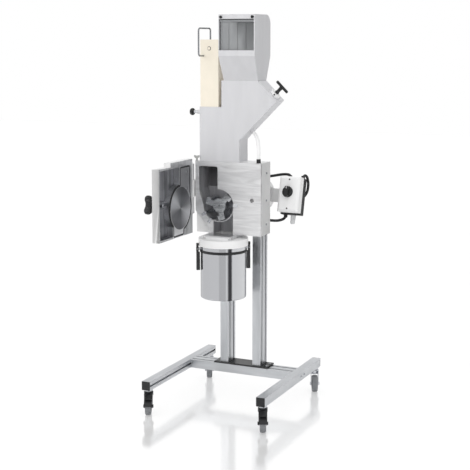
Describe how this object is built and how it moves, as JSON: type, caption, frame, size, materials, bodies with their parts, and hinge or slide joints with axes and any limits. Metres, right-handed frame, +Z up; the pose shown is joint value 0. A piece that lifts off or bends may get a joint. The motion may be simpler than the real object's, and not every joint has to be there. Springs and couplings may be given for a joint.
{
  "type": "laboratory cutting mill on a stand",
  "caption": "Floor-standing laboratory cutting mill on a castered stand, with tall feed hopper, tappet, hinged door and collecting vessel.",
  "frame": {"origin": "on the floor, midway between the two side rails and midway along them", "axes": "+Z up, +X to the machine's right as seen from its front, +Y towards the motor at the back"},
  "size_m": [0.5931, 0.7666, 1.675],
  "materials": {
    "anodised_aluminium": "satin anodised extrusion",
    "black_plastic": "matt moulded",
    "black_paint": "satin black coat",
    "dark_steel": "plain machined steel",
    "white_paint": "white powder coat",
    "machined_aluminium": "machined, faint streaks",
    "hardened_steel": "ground tool steel",
    "stainless_sheet": "brushed stainless sheet",
    "polished_stainless": "polished stainless",
    "zinc_steel": "bright zinc plate",
    "gray_rubber": "gray rubber tread",
    "black_rubber": "black cord and cable sheath",
    "cream_plastic": "cream engineering plastic",
    "white_plastic": "white moulded plastic",
    "light_gray_plastic": "light gray moulded plastic",
    "gray_plastic": "gray moulded plastic",
    "curtain_gray": "gray flexible strips"
  },
  "bodies": {
    "stand": {"rail_left": "anodised_aluminium", "rail_right": "anodised_aluminium", "crossbar": "anodised_aluminium", "rail_end_caps": "black_plastic", "caster_stems": "zinc_steel", "base_plate": "black_paint", "column_left": "anodised_aluminium", "column_right": "anodised_aluminium", "motor_plate": "dark_steel", "cap_screws": "zinc_steel", "housing_body": "white_paint", "front_plate": "machined_aluminium", "cutting_bars": "hardened_steel", "bottom_sieve": "stainless_sheet", "outlet_guide": "machined_aluminium", "hinge_bracket": "white_paint", "bearing_unit": "dark_steel", "motor_body": "white_paint", "fan_cover": "white_paint", "switch_front": "white_plastic", "switch_rear": "black_plastic", "switch_bracket": "white_paint", "mains_gland": "light_gray_plastic", "leads": "black_rubber", "hopper_body": "stainless_sheet", "hopper_head": "stainless_sheet", "chute_cap": "stainless_sheet", "hose_fittings": "black_plastic", "air_hose": "white_plastic"},
    "door": {"door_shell": "white_paint", "door_liner": "machined_aluminium", "door_seal": "black_rubber"},
    "bolt": {"door_bolt": "zinc_steel"},
    "star": {"star_knob": "black_plastic"},
    "wing": {"wing_knob": "gray_plastic"},
    "rotor_set": {"rotor": "hardened_steel", "rotor_blades": "hardened_steel", "drive_shaft": "dark_steel"},
    "tappet": {"tappet_block": "cream_plastic", "tappet_bow": "polished_stainless"},
    "plunger": {"index_plunger": "black_plastic"},
    "pusher_set": {"pusher": "zinc_steel"},
    "curtain": {"splash_curtain": "curtain_gray"},
    "dial": {"switch_dial": "black_plastic"},
    "vessel": {"vessel_pot": "polished_stainless", "vessel_lid": "white_plastic"},
    "clamp_front_lever": {"clamp_front": "black_paint"},
    "clamp_rear_lever": {"clamp_rear": "black_paint"},
    "swivel_fl": {"fork_fl": "black_paint"},
    "wheel_fl_body": {"wheel_fl": "gray_rubber"},
    "brake_fl_pedal": {"brake_fl": "black_plastic"},
    "swivel_fr": {"fork_fr": "black_paint"},
    "wheel_fr_body": {"wheel_fr": "gray_rubber"},
    "brake_fr_pedal": {"brake_fr": "black_plastic"},
    "swivel_bl": {"fork_bl": "zinc_steel"},
    "wheel_bl_body": {"wheel_bl": "gray_rubber"},
    "swivel_br": {"fork_br": "zinc_steel"},
    "wheel_br_body": {"wheel_br": "gray_rubber"}
  },
  "joints": [
    {"name": "door_hinge", "type": "hinge", "parent": "stand", "child": "door", "pos_m": [-0.183, -0.041, 0.8985], "axis": [0, 0, 1], "range_deg": [-30, 90]},
    {"name": "bolt_slide", "type": "slide", "parent": "door", "child": "bolt", "axis": [1, 0, 0], "range_m": [0, 0.0075]},
    {"name": "star_turn", "type": "hinge", "parent": "bolt", "child": "star", "pos_m": [-0.23, -0.32, 0.8985], "axis": [1, 0, 0], "range_deg": [0, 1800]},
    {"name": "wing_turn", "type": "hinge", "parent": "stand", "child": "wing", "pos_m": [-0.165, -0.025, 1.07], "axis": [0, 0, 1], "continuous": true},
    {"name": "rotor_spin", "type": "hinge", "parent": "stand", "child": "rotor_set", "pos_m": [-0.06, 0, 0.868], "axis": [0, 1, 0], "continuous": true},
    {"name": "tappet_slide", "type": "slide", "parent": "stand", "child": "tappet", "axis": [0, 0, -1], "range_m": [0, 0.21]},
    {"name": "plunger_pull", "type": "slide", "parent": "stand", "child": "plunger", "axis": [-1, 0, 0], "range_m": [0, 0.01], "stiffness_N_per_m": 400, "springref_m": -0.01},
    {"name": "pusher_slide", "type": "slide", "parent": "stand", "child": "pusher_set", "axis": [0.7071, 0, 0.7071], "range_m": [0, 0.14]},
    {"name": "curtain_swing", "type": "hinge", "parent": "stand", "child": "curtain", "pos_m": [0.0425, -0.058, 1.649], "axis": [1, 0, 0], "range_deg": [0, 60]},
    {"name": "dial_turn", "type": "hinge", "parent": "stand", "child": "dial", "pos_m": [0.2015, 0.11215, 0.92533], "axis": [0, 0.9681, -0.2504], "range_deg": [0, 90]},
    {"name": "vessel_slide", "type": "slide", "parent": "stand", "child": "vessel", "axis": [0, -1, 0], "range_m": [0, 0.25]},
    {"name": "clamp_front_swing", "type": "hinge", "parent": "vessel", "child": "clamp_front_lever", "pos_m": [-0.12574, -0.10124, 0.688], "axis": [-0.5736, 0.8192, 0], "range_deg": [0, 100]},
    {"name": "clamp_rear_swing", "type": "hinge", "parent": "vessel", "child": "clamp_rear_lever", "pos_m": [0.05774, 0.02724, 0.688], "axis": [0.5736, -0.8192, 0], "range_deg": [0, 100]},
    {"name": "swivel_fl_turn", "type": "hinge", "parent": "stand", "child": "swivel_fl", "pos_m": [-0.2635, -0.297, 0.09], "axis": [0, 0, 1], "continuous": true},
    {"name": "wheel_fl_spin", "type": "hinge", "parent": "swivel_fl", "child": "wheel_fl_body", "pos_m": [-0.25309, -0.31973, 0.0375], "axis": [0.9092, 0.4163, 0], "continuous": true},
    {"name": "brake_fl_press", "type": "hinge", "parent": "swivel_fl", "child": "brake_fl_pedal", "pos_m": [-0.25268, -0.32064, 0.0885], "axis": [0.9092, 0.4163, 0], "range_deg": [0, 18]},
    {"name": "swivel_fr_turn", "type": "hinge", "parent": "stand", "child": "swivel_fr", "pos_m": [0.2635, -0.297, 0.09], "axis": [0, 0, 1], "continuous": true},
    {"name": "wheel_fr_spin", "type": "hinge", "parent": "swivel_fr", "child": "wheel_fr_body", "pos_m": [0.27391, -0.31973, 0.0375], "axis": [0.9092, 0.4163, 0], "continuous": true},
    {"name": "brake_fr_press", "type": "hinge", "parent": "swivel_fr", "child": "brake_fr_pedal", "pos_m": [0.27432, -0.32064, 0.0885], "axis": [0.9092, 0.4163, 0], "range_deg": [0, 18]},
    {"name": "swivel_bl_turn", "type": "hinge", "parent": "stand", "child": "swivel_bl", "pos_m": [-0.2635, 0.297, 0.09], "axis": [0, 0, 1], "continuous": true},
    {"name": "wheel_bl_spin", "type": "hinge", "parent": "swivel_bl", "child": "wheel_bl_body", "pos_m": [-0.25309, 0.27427, 0.0375], "axis": [0.9092, 0.4163, 0], "continuous": true},
    {"name": "swivel_br_turn", "type": "hinge", "parent": "stand", "child": "swivel_br", "pos_m": [0.2635, 0.297, 0.09], "axis": [0, 0, 1], "continuous": true},
    {"name": "wheel_br_spin", "type": "hinge", "parent": "swivel_br", "child": "wheel_br_body", "pos_m": [0.27391, 0.27427, 0.0375], "axis": [0.9092, 0.4163, 0], "continuous": true}
  ],
  "couplings": [
    {"joint": "bolt_slide", "follows": "star_turn", "m_per_rad": 0.00023873}
  ]
}
